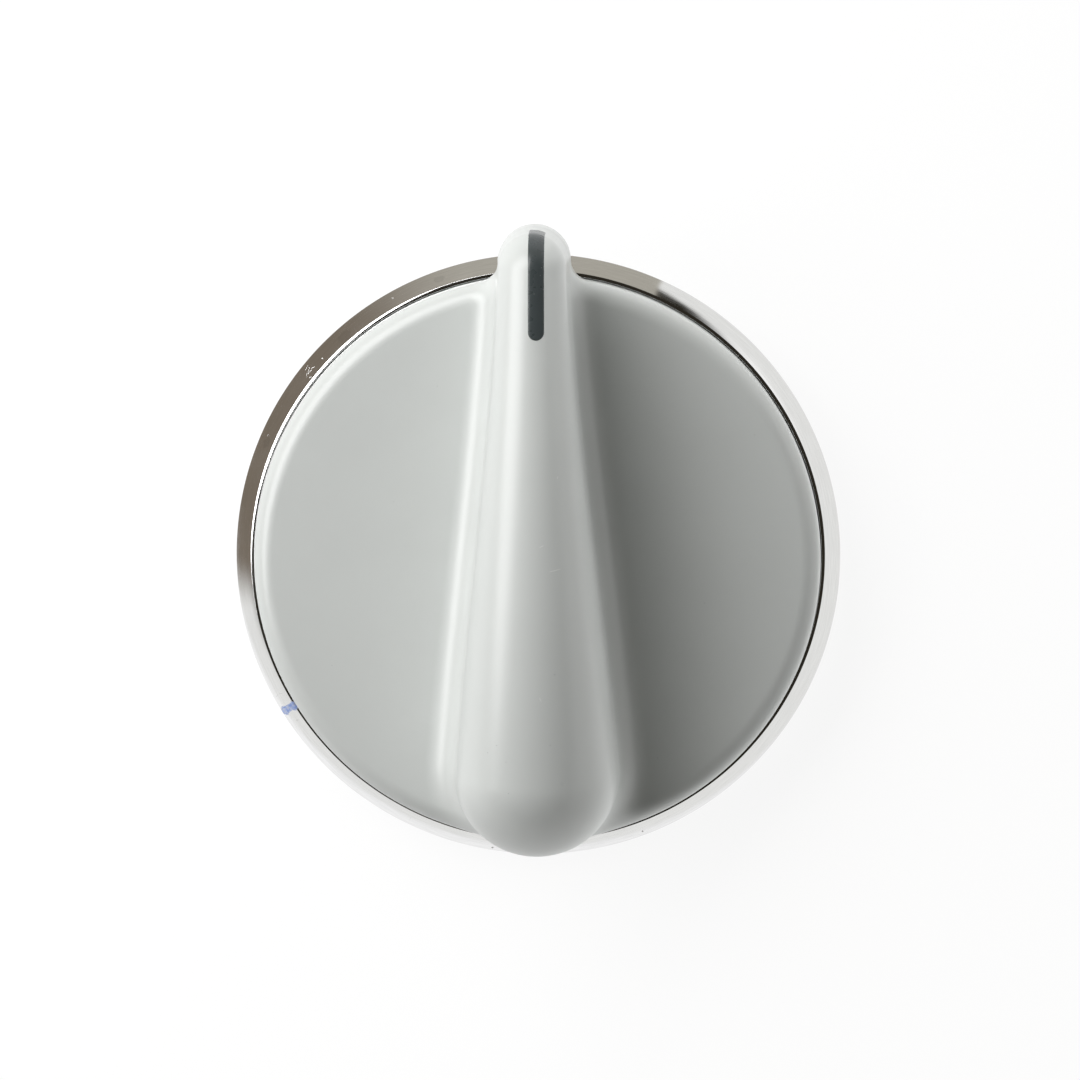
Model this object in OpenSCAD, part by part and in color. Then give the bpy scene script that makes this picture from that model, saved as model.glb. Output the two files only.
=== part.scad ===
// Selector knob for a washing machine: a round face, a teardrop grip with a pointer line,
// and a bright bevelled ring round the face. Sizes are in millimetres.
// The shaft's axis is Z, the grip points along +Y, and the knob's rear rim lies on Z = 0.

/* [Ring] */
// Radius of the ring at its widest line
ring_r = 30; // [29.8:0.1:30.4]
// Radius of the ring at its rear edge, a little less so that it leaves its mould
ring_rear_r = 29.6; // [29.2:0.1:29.8]
// Height of the widest line, where the bevel starts
ring_wide_z = 3.8; // [3.6:0.05:4]
// Radius at which the flat bevel ends
bevel_end_r = 28.45; // [28.35:0.05:28.6]
// Height of the ring's crest
ring_crest_z = 5.2; // [5.1:0.05:5.4]
// Radius of the ring's opening round the face
ring_bore_r = 28.1; // [28.1:0.05:28.2]
// Inner radius of the flange that the snap fingers hold
flange_r = 25.2; // [25.1:0.1:25.4]
// Height of the flange's rear side
flange_z = 2.2; // [2.2:0.05:2.4]
// Thickness of the flange
flange_t = 1.2; // [1:0.1:1.2]

/* [Face] */
// Radius of the round face
face_r = 28; // [27.9:0.05:28.05]
// Height of the flat face
face_z = 9; // [8.8:0.1:9.4]
// Radius of the rounded edge of the face
face_edge_r = 2; // [1.6:0.1:2.2]
// Thickness of the face
plate_t = 2; // [1.8:0.1:2.2]
// Thickness of the skirt that hangs from the face's edge
skirt_t = 1.6; // [1.4:0.1:1.7]

/* [Grip] */
// Height of the grip's crown at its highest point
grip_top_z = 25; // [24:0.5:27]
// Place of the highest point along the grip
grip_apex_y = -5; // [-8:1:0]
// Radius of the crown's long arch
grip_arch_r = 115; // [110:5:160]
// Radius of the wide end, seen from above
wide_r = 8.05; // [7.8:0.05:8.2]
// Place of the wide end's centre
wide_y = -20.45; // [-20.7:0.05:-20.2]
// Taper of the sides where they leave the wide end
wide_taper = 0.08; // [0.07:0.005:0.09]
// Radius of the pointer end, seen from above
tip_r = 3.45; // [3.4:0.05:3.6]
// Place of the pointer end's centre
tip_y = 29.5; // [29.2:0.1:29.8]
// Taper of the sides where they reach the pointer end
tip_taper = 0.04; // [0.03:0.005:0.05]
// How far the sides lean in between the fillet and the rounded crown
grip_lean = 0.15; // [0.1:0.05:0.25]
// Radius of the fillet round the wide end
wide_fillet_r = 3.2; // [2.8:0.1:3.4]
// Radius of the fillet beside the pointer end
tip_fillet_r = 2.6; // [2.4:0.1:2.8]
// Radius of the webs that run from the face's edge to the pointer end
web_r = 2; // [1.8:0.1:2.2]

/* [Grip hollow] */
// Radius of the hollow's wide end
hollow_wide_r = 5.9; // [5.6:0.1:5.9]
// Place of the centre of the hollow's wide end
hollow_wide_y = -19.5; // [-19.6:0.1:-19]
// Radius of the hollow's narrow end
hollow_tip_r = 1.5; // [1.3:0.1:1.6]
// Place of the centre of the hollow's narrow end
hollow_tip_y = 22.8; // [22:0.2:23]
// Thickness of the crown over the hollow
crown_t = 2.2; // [2:0.1:2.4]

/* [Hub] */
// Outer radius of the hub
hub_r = 5.5; // [5.4:0.1:5.7]
// Radius of the round mouth that passes the shaft's full round
mouth_r = 3.4; // [3.4:0.01:3.42]
// Depth of the round mouth
mouth_depth = 4; // [3.8:0.1:4.2]
// Radius of the D-shaped socket
socket_r = 3.2; // [3.18:0.01:3.2]
// Distance from the axis to the socket's flat
socket_flat = 2.35; // [2.3:0.05:2.4]
// Depth of the whole socket from the rear rim
socket_depth = 12; // [11.5:0.5:12.5]
// Thickness of the hub's closed end
hub_end_t = 1.5; // [1.3:0.1:1.8]
// Width of the slits that let the hub's mouth spring
slit_w = 1; // [0.8:0.1:1.2]
// Thickness of the ribs under the face
rib_t = 1.2; // [1:0.1:1.4]
// Height of the ribs' lower edge, which is also the top of the slits
rib_z = 4.4; // [4.3:0.1:4.8]

/* [Snap fingers] */
// Inner radius of the fingers
finger_r = 23.6; // [23.5:0.1:23.8]
// Thickness of the fingers
finger_t = 1.3; // [1.2:0.1:1.35]
// How far the fingers' noses stand out
nose_reach = 1.1; // [0.9:0.1:1.2]
// Height of the fingers' lower ends
finger_z = 0.7; // [0.5:0.1:0.9]
// Width of a finger, as an angle round the axis
finger_angle = 14; // [12:1:16]

/* [Shaft clip] */
// Radius of the groove round the hub that holds the clip
clip_r = 5; // [4.9:0.05:5]
// Thickness of the clip's spring steel
clip_t = 0.6; // [0.5:0.1:0.6]
// Height of the clip's rear edge
clip_z = 0.9; // [0.8:0.1:1]
// Length of the clip along the hub
clip_h = 2.8; // [2.6:0.1:3]
// Opening of the clip, as an angle round the hub
clip_gap_angle = 50; // [40:5:70]

/* [Pointer line] */
// Width of the pointer line
line_w = 1.55; // [1.4:0.05:1.6]
// Place of the pointer line's inner end
line_end_y = 22.8; // [21.6:0.2:23.4]
// Distance of the line from the grip's middle
line_x = 0.5; // [0.2:0.05:0.6]
// Depth of the line in the moulding
line_depth = 0.3; // [0.2:0.05:0.4]
// How far the line stands proud of the moulding
line_proud = 0.03; // [0.02:0.01:0.04]

/* [Hidden] */

// Height of the skirt's lower edge, which sits on the ring's flange
skirt_z = flange_z + flange_t;
// Play between the fingers' noses and the flange, and the height of the noses
nose_play = 0.15;
nose_top_z = flange_z - nose_play;
// Height of the slope that lets a nose slide over the flange
nose_slope_h = 0.8;
// Places of the fingers and of the ribs, as angles round the axis
FINGER_PLACES = [22.5, 157.5, 202.5, 337.5];
RIB_PLACES = [0, 45, 135, 180, 225, 315];

// Slope of the ring's inner wall behind the flange
ring_draft = 0.1;
// How much the narrow land between the bevel and the opening rises towards the opening
land_rise = 0.05;
// Broken edge of the opening
opening_break = 0.05;

// Height at which the face's rounded edge begins
edge_z = face_z - face_edge_r;
// Drop from the edge, or from an overhang's edge, to the foot of its wall, and on to the skirt
foot_drop = 0.2;
skirt_drop = 0.5;
// Gap between the ring's crest and the parts of the moulding that stand out over it
over_gap = 0.25;
// Height of the lower edge of such a part
over_z = ring_crest_z + over_gap + skirt_drop;
// How far the wall under such a part leans out, and the least reach that counts as standing out
over_lean = 0.12;
over_least = 0.02;
// Where the face is narrower than full_gap, its fillet and its edge share the room, and at
// tight_gap and below they take these shares of it
tight_gap = 2.5;
full_gap = 5.5;
fillet_share = 0.55;
edge_share = 0.4;

// Length by which a cut runs past the face that it opens
cut = 1;
// Facets of the hub, of the fingers and clip, and of the ring
HUB_FACETS = 64;
FINGER_FACETS = 96;
RING_FACETS = 128;

// Number of steps round the pointer end, along a web, along a side and round the wide end
TIP_STEPS = 8;
WEB_STEPS = 5;
SIDE_STEPS = 27;
WIDE_STEPS = 14;
// Steps of the rounded crown, of the fillet and of the face's edge
CROWN_STEPS = 8;
FILLET_STEPS = 5;
EDGE_STEPS = 5;
HOLLOW_STEPS = 3;

// Last station of the right half, and the number of points in a whole loop
LAST = TIP_STEPS + WEB_STEPS + SIDE_STEPS + WIDE_STEPS;
AROUND = 2 * LAST;
WEB_END = TIP_STEPS + WEB_STEPS;
SIDE_END = WEB_END + SIDE_STEPS;

grip_form = [wide_y, wide_r, tip_y, tip_r];
hollow_form = [hollow_wide_y, hollow_wide_r, hollow_tip_y, hollow_tip_r];
wide_join = atan(wide_taper);
tip_join = atan(tip_taper);

function unit(v) = v / norm(v);
function mix(a, b, t) = a + (b - a) * t;
function clamp01(t) = max(0, min(1, t));
// Height of a quarter round of radius r, at distance d from its outer edge
function rise(r, d) = sqrt(r * r - pow(r - min(r, max(0, d)), 2));

// Where the long side starts and ends, for a form of [wide_y, wide_r, tip_y, tip_r]
function side_start(form) = form[0] + form[1] * sin(wide_join);
function side_stop(form) = form[2] + form[3] * sin(tip_join);
// Half-width of a form and its slope at u, from 0 at the wide end to 1 at the pointer end:
// a cubic curve that leaves each round end along its tangent
function half_width(form, u) =
    (2 * u * u * u - 3 * u * u + 1) * form[1] * cos(wide_join)
    + (3 * u * u - 2 * u * u * u) * form[3] * cos(tip_join)
    - (side_stop(form) - side_start(form))
        * ((u * u * u - 2 * u * u + u) * wide_taper + (u * u * u - u * u) * tip_taper);
function width_slope(form, u) =
    (6 * u * u - 6 * u) * (form[1] * cos(wide_join) - form[3] * cos(tip_join))
        / (side_stop(form) - side_start(form))
    - (3 * u * u - 4 * u + 1) * wide_taper
    - (3 * u * u - 2 * u) * tip_taper;

// A web is an arc that touches the face's edge and the pointer end's side
web_x = tip_r * cos(tip_join) + over_lean + web_r;
web_y = sqrt(pow(face_r + web_r, 2) - web_x * web_x);
web_turn = atan2(web_y, web_x);
// Place along the side that faces the web's outer end
web_side_y = 25.2;

// Place along the side, from 0 to 1, of a station between the two round ends.
// Stations past the web keep level with even steps round the face's edge.
edge_start = 90 - web_turn;
function wide_ray(angle) =
    let (d = [cos(angle), sin(angle)], c = wide_y * d[1])
    [0, wide_y] + d * (-c + sqrt(c * c - wide_y * wide_y + face_r * face_r));
edge_stop = 90 - atan2(wide_ray(wide_join)[1], wide_ray(wide_join)[0]);
function edge_angle(k) = mix(edge_start, edge_stop, (k - WEB_END) / SIDE_STEPS);
function side_place(k) =
    let (top = side_stop(grip_form), low = side_start(grip_form))
    let (level = (cos(edge_start) - cos(edge_angle(k))) / (cos(edge_start) - cos(edge_stop)))
    (mix(k < WEB_END ? top : web_side_y,
         k < WEB_END ? web_side_y : low,
         k < WEB_END ? (k - TIP_STEPS) / WEB_STEPS : level) - low) / (top - low);
// Angle of a station round the wide end, in steps that grow from first_step times the even
// step towards the end
first_step = 0.5;
function wide_angle(k) =
    let (t = (k - SIDE_END) / WIDE_STEPS)
    mix(wide_join, -90, t * mix(first_step, 1, t));

// Foot of a form at station k, with the place of the middle line that it belongs to:
// [x, y, middle y]
function foot(form, k) =
    k < TIP_STEPS ?
        let (a = mix(90, tip_join, k / TIP_STEPS))
        [form[3] * cos(a), form[2] + form[3] * sin(a), form[2]]
    : k <= SIDE_END ?
        let (u = side_place(k), w = half_width(form, u))
        let (y = mix(side_start(form), side_stop(form), u))
        [w, y, y + w * width_slope(form, u)]
    :
        let (a = wide_angle(k))
        [form[1] * cos(a), form[0] + form[1] * sin(a), form[0]];

// Outline of the whole moulding at station k: over the ring at both ends, else the face's edge
function outline(k) =
    let (f = foot(grip_form, k), n = unit([f[0], f[1] - f[2]]))
    k < TIP_STEPS ? [f[0], f[1]] + n * over_lean
    : k <= WEB_END ?
        let (a = mix(180, 180 + web_turn, (k - TIP_STEPS) / WEB_STEPS))
        [web_x, web_y] + web_r * [cos(a), sin(a)]
    : k <= SIDE_END ? face_r * [sin(edge_angle(k)), cos(edge_angle(k))]
    : let (ray = wide_ray(wide_angle(k)), out = [f[0], f[1]] + n * over_lean)
        (norm(out) > face_r ? out : ray);
function over_ring(k) = k <= WEB_END || norm(outline(k)) > face_r + over_least;
function rim_z(k) = over_ring(k) ? over_z : edge_z;

function crown_z(y) = grip_top_z - pow(y - grip_apex_y, 2) / (2 * grip_arch_r);
function fillet_r(y) = mix(wide_fillet_r, tip_fillet_r, clamp01((y - wide_y) / (tip_y - wide_y)));

// Height of the moulding at p, reached from station k: the rounded edge plus the fillet
function skin_z(k, p) =
    let (f = foot(grip_form, k), g = [f[0], f[1]], n = unit([f[0], f[1] - f[2]]))
    let (fr = fillet_r(f[1]), d = outline(k))
    let (from_edge = over_ring(k) ? norm(d - p) : face_r - norm(p))
    edge_z + rise(face_edge_r, from_edge) + fr - rise(fr, (p - g) * n);

// How free the face is of the tight places, from 0 to 1, where it is this far across
function free(across) = clamp01((across - tight_gap) / (full_gap - tight_gap));
// One point of the fillet at angle a, and one of the rounded edge
function fillet_point(k, a) =
    let (f = foot(grip_form, k), g = [f[0], f[1]], n = unit([f[0], f[1] - f[2]]))
    let (gap = outline(k) - g, across = norm(gap))
    let (way = unit(mix(gap / across, n, free(across))))
    let (reach = min(fillet_r(f[1]), fillet_share * across))
    let (p = g + way * reach * (1 - cos(a)))
    [p[0], p[1], skin_z(k, p)];
function edge_point(k, a) =
    let (f = foot(grip_form, k), g = [f[0], f[1]], d = outline(k))
    let (gap = g - d, across = norm(gap))
    let (way = unit(mix(gap / across, -unit(d), free(across))))
    let (reach = min(face_edge_r, edge_share * across), p = d + way * reach * (1 - cos(a)))
    [p[0], p[1], skin_z(k, p)];

// One point of a rounded crown: a round of radius h about the middle line, lying under the arch
function crown_point(form, k, a, lean, under) =
    let (f = foot(form, k), v = [f[0], f[1] - f[2]], h = norm(v) - lean)
    let (p = [0, f[2]] + unit(v) * h * cos(a))
    [p[0], p[1], crown_z(p[1]) - under - h * (1 - sin(a))];
function circle_point(k, r, z) = concat(unit(outline(k)) * r, z);
function foot_point(k, z) = concat(outline(k), z);

// Loops of the moulding from the crown, over the face and the skirt, and up into the hollow
stations = [for (k = [0:LAST]) k];
half_loops = [
    for (j = [1:CROWN_STEPS]) let (a = 90 - 90 * j / CROWN_STEPS)
        [for (k = stations) crown_point(grip_form, k, a, grip_lean, 0)],
    for (j = [0:FILLET_STEPS]) [for (k = stations) fillet_point(k, 90 * j / FILLET_STEPS)],
    for (j = [0:EDGE_STEPS]) [for (k = stations) edge_point(k, 90 - 90 * j / EDGE_STEPS)],
    [for (k = stations) foot_point(k, rim_z(k) - foot_drop)],
    [for (k = stations) circle_point(k, face_r, rim_z(k) - skirt_drop)],
    [for (k = stations) circle_point(k, face_r, skirt_z)],
    [for (k = stations) circle_point(k, face_r - skirt_t, skirt_z)],
    [for (k = stations) circle_point(k, face_r - skirt_t, face_z - plate_t)],
    [for (k = stations) let (f = foot(hollow_form, k)) [f[0], f[1], face_z - plate_t]],
    for (j = [0:HOLLOW_STEPS - 1]) let (a = 90 * j / HOLLOW_STEPS)
        [for (k = stations) crown_point(hollow_form, k, a, 0, crown_t)]
];

// A half loop with its mirror image: the stations on the middle line are used once
function mirrored(p) = [-p[0], p[1], p[2]];
function whole(half) =
    [for (i = [0:AROUND - 1]) i <= LAST ? half[i] : mirrored(half[AROUND - i])];
// Points along a crown's middle line, one for each station of the side
function middle_line(form, under) =
    [for (k = [TIP_STEPS:SIDE_END]) crown_point(form, k, 90, 0, under)];
function middle_index(i) =
    let (k = i <= LAST ? i : AROUND - i)
    max(0, min(SIDE_END - TIP_STEPS, k - TIP_STEPS));

MIDDLE = SIDE_END - TIP_STEPS + 1;
LOOPS = len(half_loops);
shell_points = concat(
    [for (half = half_loops) each whole(half)],
    middle_line(grip_form, 0),
    middle_line(hollow_form, crown_t)
);

// Two triangles for each cell between loops, split alike on both sides of the middle line
function cell(a, b, c, d, right) = right ? [[a, d, c], [a, c, b]] : [[a, d, b], [b, d, c]];
shell_faces = [
    for (j = [0:LOOPS - 2], i = [0:AROUND - 1])
        let (n = (i + 1) % AROUND, upper = j * AROUND, lower = upper + AROUND)
        each cell(upper + i, upper + n, lower + n, lower + i, i < LAST),
    for (i = [0:AROUND - 1])
        let (n = (i + 1) % AROUND, first = LOOPS * AROUND)
        let (a = first + middle_index(i), b = first + middle_index(n))
        each a == b ? [[a, i, n]] : cell(a, b, n, i, i < LAST),
    for (i = [0:AROUND - 1])
        let (n = (i + 1) % AROUND, last = (LOOPS - 1) * AROUND)
        let (first = LOOPS * AROUND + MIDDLE)
        let (a = first + middle_index(i), b = first + middle_index(n))
        each a == b ? [[last + i, a, last + n]] : cell(last + i, last + n, b, a, i < LAST)
];

// The moulding without its hub, ribs and fingers
module shell_skin() {
    polyhedron(points = shell_points, faces = shell_faces, convexity = 8);
}

// Solid bar with a flat side for the D-shaped part of the socket
module d_bar(r, flat, h) {
    difference() {
        cylinder(r = r, h = h, $fn = HUB_FACETS);
        translate([-r - cut, flat, -cut]) cube([2 * (r + cut), r, h + 2 * cut]);
    }
}

// Hub with its clip groove, round mouth, D-shaped socket and slits
module hub() {
    difference() {
        cylinder(r = hub_r, h = socket_depth + hub_end_t, $fn = HUB_FACETS);
        translate([0, 0, -cut]) cylinder(r = mouth_r, h = mouth_depth + cut, $fn = HUB_FACETS);
        translate([0, 0, mouth_depth - cut])
            d_bar(socket_r, socket_flat, socket_depth - mouth_depth + cut);
        translate([0, 0, clip_z])
            difference() {
                cylinder(r = hub_r + cut, h = clip_h, $fn = HUB_FACETS);
                translate([0, 0, -cut]) cylinder(r = clip_r, h = clip_h + 2 * cut, $fn = HUB_FACETS);
            }
        translate([-hub_r - cut, -slit_w / 2, -cut]) cube([2 * (hub_r + cut), slit_w, rib_z + cut]);
    }
}

module ribs() {
    inner = (mouth_r + hub_r) / 2;
    outer = face_r - skirt_t / 2;
    for (a = RIB_PLACES)
        rotate([0, 0, a])
            translate([inner, -rib_t / 2, rib_z])
                cube([outer - inner, rib_t, face_z - plate_t / 2 - rib_z]);
}

// Snap fingers, each with a nose that reaches under the ring's flange
module fingers() {
    outer = finger_r + finger_t;
    for (a = FINGER_PLACES)
        rotate([0, 0, a - finger_angle / 2])
            rotate_extrude(angle = finger_angle, $fn = FINGER_FACETS)
                polygon([
                    [finger_r, finger_z],
                    [outer, finger_z],
                    [outer + nose_reach, finger_z + nose_slope_h],
                    [outer + nose_reach, nose_top_z],
                    [outer, nose_top_z],
                    [outer, face_z - plate_t / 2],
                    [finger_r, face_z - plate_t / 2]
                ]);
}

// Pointer line: a band that follows the crown's middle and turns down over the pointer end.
// Each station holds [middle y, angle round the crown's end, radius of the crown, half-width, drop].
LINE_STEPS = 6;
LINE_END_STEPS = 5;
LINE_ACROSS = 4;
end_r = tip_r - grip_lean;
end_wall_h = crown_z(tip_y + end_r) - end_r - skin_z(0, [0, tip_y + tip_r]);
line_drop = 3;
function crown_r(y) =
    half_width(grip_form, (y - side_start(grip_form)) / (side_stop(grip_form) - side_start(grip_form)))
    - grip_lean;
function line_half(d) = sqrt(pow(line_w / 2, 2) - pow(line_w / 2 - d, 2));
line_stations = [
    for (j = [1:LINE_END_STEPS]) let (d = line_w / 2 * (1 - cos(90 * j / LINE_END_STEPS)))
        [line_end_y + d, 90, crown_r(line_end_y + d), line_half(d), 0],
    for (j = [1:LINE_STEPS - 1]) let (y = mix(line_end_y + line_w / 2, tip_y, j / LINE_STEPS))
        [y, 90, crown_r(y), line_w / 2, 0],
    for (j = [0:CROWN_STEPS]) [tip_y, 90 - 90 * j / CROWN_STEPS, end_r, line_w / 2, 0],
    [tip_y, 0, end_r, line_w / 2, line_drop]
];
// Point of the band at x across it and at height out above the moulding
function line_point(s, x, out) =
    let (r = sqrt(s[2] * s[2] - pow(line_x + x, 2)) + out, y = s[0] + r * cos(s[1]))
    [line_x + x, y + s[4] * grip_lean / end_wall_h, crown_z(y) - s[2] + r * sin(s[1]) - s[4]];
function line_section(s) = [
    line_point(s, -s[3], -line_depth),
    line_point(s, s[3], -line_depth),
    for (j = [0:LINE_ACROSS]) line_point(s, mix(s[3], -s[3], j / LINE_ACROSS), line_proud)
];
LINE_POINTS = LINE_ACROSS + 3;
line_points = [for (s = line_stations) each line_section(s)];
line_faces = [
    [for (i = [LINE_POINTS - 1:-1:0]) i],
    for (j = [0:len(line_stations) - 2], i = [0:LINE_POINTS - 1])
        let (n = (i + 1) % LINE_POINTS, a = j * LINE_POINTS, b = a + LINE_POINTS)
        each [[a + i, a + n, b + n], [a + i, b + n, b + i]],
    [for (i = [0:LINE_POINTS - 1]) (len(line_stations) - 1) * LINE_POINTS + i]
];
module line_body() {
    polyhedron(points = line_points, faces = line_faces, convexity = 4);
}

// Grey moulding: face, grip, skirt, hub, ribs and fingers in one piece
module knob_shell() {
    color("#c6c9c5")
        difference() {
            union() {
                shell_skin();
                hub();
                ribs();
                fingers();
            }
            line_body();
        }
}

// Bright ring: bevelled in front, with a flange inside that the fingers hold
module trim_ring() {
    color("#d2d3d4")
        rotate_extrude($fn = RING_FACETS)
            polygon([
                [ring_bore_r + ring_draft, 0],
                [ring_rear_r, 0],
                [ring_r, ring_wide_z],
                [bevel_end_r, ring_crest_z - land_rise],
                [ring_bore_r + opening_break, ring_crest_z],
                [ring_bore_r, ring_crest_z - opening_break],
                [ring_bore_r, flange_z + flange_t],
                [flange_r, flange_z + flange_t],
                [flange_r, flange_z],
                [ring_bore_r + ring_draft, flange_z]
            ]);
}

// Open ring of spring steel that squeezes the slit mouth of the hub on to the shaft
module shaft_clip() {
    color("#8f9296")
        translate([0, 0, clip_z])
            rotate([0, 0, 90 + clip_gap_angle / 2])
                rotate_extrude(angle = 360 - clip_gap_angle, $fn = FINGER_FACETS)
                    translate([clip_r, 0]) square([clip_t, clip_h]);
}

// Dark pointer line on the narrow end of the grip
module pointer_line() {
    color("#3f4447") line_body();
}

knob_shell();
trim_ring();
shaft_clip();
pointer_line();
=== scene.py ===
"""Selector knob of a washing machine, dressed for rendering round its packed construction model.

The knob lies on its rear rim with its shaft's axis along Z and its pointer along +Y, in metres.
Every piece is a surface worked out with numpy from the sizes in the property groups below.
"""

import math

import bpy
import numpy as np
from bpy.props import FloatProperty, FloatVectorProperty, PointerProperty
from mathutils import Matrix, Vector


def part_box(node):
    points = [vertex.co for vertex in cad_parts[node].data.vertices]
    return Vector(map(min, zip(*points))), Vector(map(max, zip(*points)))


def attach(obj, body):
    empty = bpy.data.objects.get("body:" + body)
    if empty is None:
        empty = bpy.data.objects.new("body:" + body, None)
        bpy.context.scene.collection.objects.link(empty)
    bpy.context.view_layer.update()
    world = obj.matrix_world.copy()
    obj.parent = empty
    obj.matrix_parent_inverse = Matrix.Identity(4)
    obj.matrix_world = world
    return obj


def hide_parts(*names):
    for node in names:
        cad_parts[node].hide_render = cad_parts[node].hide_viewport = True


bl_info = {
    "name": "Washing machine knob",
    "version": (1, 0, 0),
    "blender": (4, 5, 0),
    "location": "3D View > Sidebar > Knob",
    "description": "Builds a selector knob with a teardrop grip and a bright bevelled ring",
    "category": "Object",
}

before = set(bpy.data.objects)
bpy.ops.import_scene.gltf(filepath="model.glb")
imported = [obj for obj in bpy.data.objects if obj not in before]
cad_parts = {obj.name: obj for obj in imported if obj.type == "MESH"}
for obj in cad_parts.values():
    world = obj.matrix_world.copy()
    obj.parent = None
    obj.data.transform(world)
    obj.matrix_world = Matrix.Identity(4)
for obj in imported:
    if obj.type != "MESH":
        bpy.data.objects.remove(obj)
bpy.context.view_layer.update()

MM = 0.001
SHELL_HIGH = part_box("knob_shell")[1]
RING_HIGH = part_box("trim_ring")[1]
CLIP_LOW, CLIP_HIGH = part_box("shaft_clip")
LINE_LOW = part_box("pointer_line")[0]


def linear(text):
    """Linear red, green and blue of a colour written as sRGB hex, such as #c4c7c4."""
    parts = [int(text[i:i + 2], 16) / 255 for i in (1, 3, 5)]
    return [p / 12.92 if p <= 0.04045 else ((p + 0.055) / 1.055) ** 2.4 for p in parts]


def size(name, description, default):
    """A length in metres that a user may change."""
    return FloatProperty(
        name=name, description=description, default=default, subtype="DISTANCE", unit="LENGTH", precision=5
    )


def colour(name, description, text):
    """A colour that a user may change, given as sRGB hex."""
    return FloatVectorProperty(
        name=name, description=description, default=linear(text), size=3, min=0, max=1, subtype="COLOR"
    )


def angle(name, description, degrees):
    """An angle that a user may change, given in degrees."""
    return FloatProperty(name=name, description=description, default=math.radians(degrees), subtype="ANGLE")


def amount(name, description, default):
    """A plain number that a user may change."""
    return FloatProperty(name=name, description=description, default=default)


class KnobMouldingSizes(bpy.types.PropertyGroup):
    """Sizes of the grey moulding: face, grip, hollow, hub, ribs and fingers."""

    face_radius: size("Face radius", "Radius of the round face", 28 * MM)
    face_height: size("Face height", "Height of the flat face", 9 * MM)
    edge_radius: size("Edge radius", "Radius of the face's rounded edge", 2 * MM)
    plate: size("Plate", "Thickness of the face", 2 * MM)
    skirt: size("Skirt", "Thickness of the skirt under the face's edge", 1.6 * MM)
    skirt_height: size("Skirt height", "Height of the skirt's lower edge", 3.4 * MM)
    crown_height: size("Crown height", "Height of the grip's highest point", SHELL_HIGH.z)
    crown_place: size("Crown place", "Place of the highest point along the grip", -5 * MM)
    arch_radius: size("Arch radius", "Radius of the crown's long arch", 115 * MM)
    wide_radius: size("Wide end radius", "Radius of the grip's wide end seen from above", 8.05 * MM)
    wide_place: size("Wide end place", "Place of the wide end's centre", -20.45 * MM)
    wide_taper: amount("Wide taper", "Slope of the sides where they leave the wide end", 0.08)
    tip_radius: size("Pointer end radius", "Radius of the pointer end seen from above", 3.45 * MM)
    tip_place: size("Pointer end place", "Place of the pointer end's centre", 29.5 * MM)
    tip_taper: amount("Pointer taper", "Slope of the sides where they reach the pointer end", 0.04)
    lean: size("Lean", "How far the grip's sides lean in below the crown", 0.15 * MM)
    wide_fillet: size("Wide fillet", "Radius of the fillet round the wide end", 3.2 * MM)
    tip_fillet: size("Pointer fillet", "Radius of the fillet beside the pointer end", 2.6 * MM)
    web_radius: size("Web radius", "Radius of the webs from the face's edge to the pointer end", 2 * MM)
    web_side: size("Web side", "Place along the grip that faces a web's outer end", 25.2 * MM)
    over_height: size("Overhang height", "Height of the lower edge of the parts over the ring", 5.95 * MM)
    over_lean: size("Overhang lean", "How far the wall under an overhang leans out", 0.12 * MM)
    hollow_wide_radius: size("Hollow wide radius", "Radius of the hollow's wide end", 5.9 * MM)
    hollow_wide_place: size("Hollow wide place", "Place of the hollow's wide end", -19.5 * MM)
    hollow_tip_radius: size("Hollow tip radius", "Radius of the hollow's narrow end", 1.5 * MM)
    hollow_tip_place: size("Hollow tip place", "Place of the hollow's narrow end", 22.8 * MM)
    crown_wall: size("Crown wall", "Thickness of the crown over the hollow", 2.2 * MM)
    hub_radius: size("Hub radius", "Outer radius of the hub", 5.5 * MM)
    hub_top: size("Hub top", "Height of the hub's closed end", 13.5 * MM)
    mouth_radius: size("Mouth radius", "Radius of the hub's round mouth", 3.4 * MM)
    mouth_depth: size("Mouth depth", "Depth of the hub's round mouth", 4 * MM)
    socket_radius: size("Socket radius", "Radius of the D-shaped socket", 3.2 * MM)
    socket_flat: size("Socket flat", "Distance from the axis to the socket's flat", 2.35 * MM)
    socket_depth: size("Socket depth", "Depth of the socket from the rear rim", 12 * MM)
    slit: size("Slit", "Width of the slits in the hub's mouth", 1 * MM)
    rib: size("Rib", "Thickness of the ribs under the face", 1.2 * MM)
    rib_height: size("Rib height", "Height of the ribs' lower edge", 4.4 * MM)
    finger_radius: size("Finger radius", "Inner radius of the snap fingers", 23.6 * MM)
    finger: size("Finger", "Thickness of the snap fingers", 1.3 * MM)
    finger_height: size("Finger height", "Height of the fingers' lower ends", 0.7 * MM)
    finger_angle: angle("Finger angle", "Width of a finger round the axis", 14)
    nose: size("Nose", "How far the fingers' noses stand out", 1.1 * MM)
    nose_height: size("Nose height", "Height of the noses' upper side", 2.05 * MM)


class KnobRingSizes(bpy.types.PropertyGroup):
    """Sizes of the bright ring."""

    radius: size("Radius", "Radius at the widest line", RING_HIGH.x)
    rear_radius: size("Rear radius", "Radius at the rear edge", 29.6 * MM)
    wide_height: size("Wide height", "Height of the widest line, where the bevel starts", 3.8 * MM)
    bevel_end: size("Bevel end", "Radius at which the flat bevel ends", 28.45 * MM)
    crest_height: size("Crest height", "Height of the ring's crest", RING_HIGH.z)
    opening: size("Opening", "Radius of the opening round the face", 28.1 * MM)
    land_rise: size("Land rise", "Rise of the narrow land between bevel and opening", 0.12 * MM)
    flange_radius: size("Flange radius", "Inner radius of the flange", 25.2 * MM)
    flange_low: size("Flange low", "Height of the flange's rear side", 2.2 * MM)
    flange_high: size("Flange high", "Height of the flange's front side", 3.4 * MM)


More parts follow.
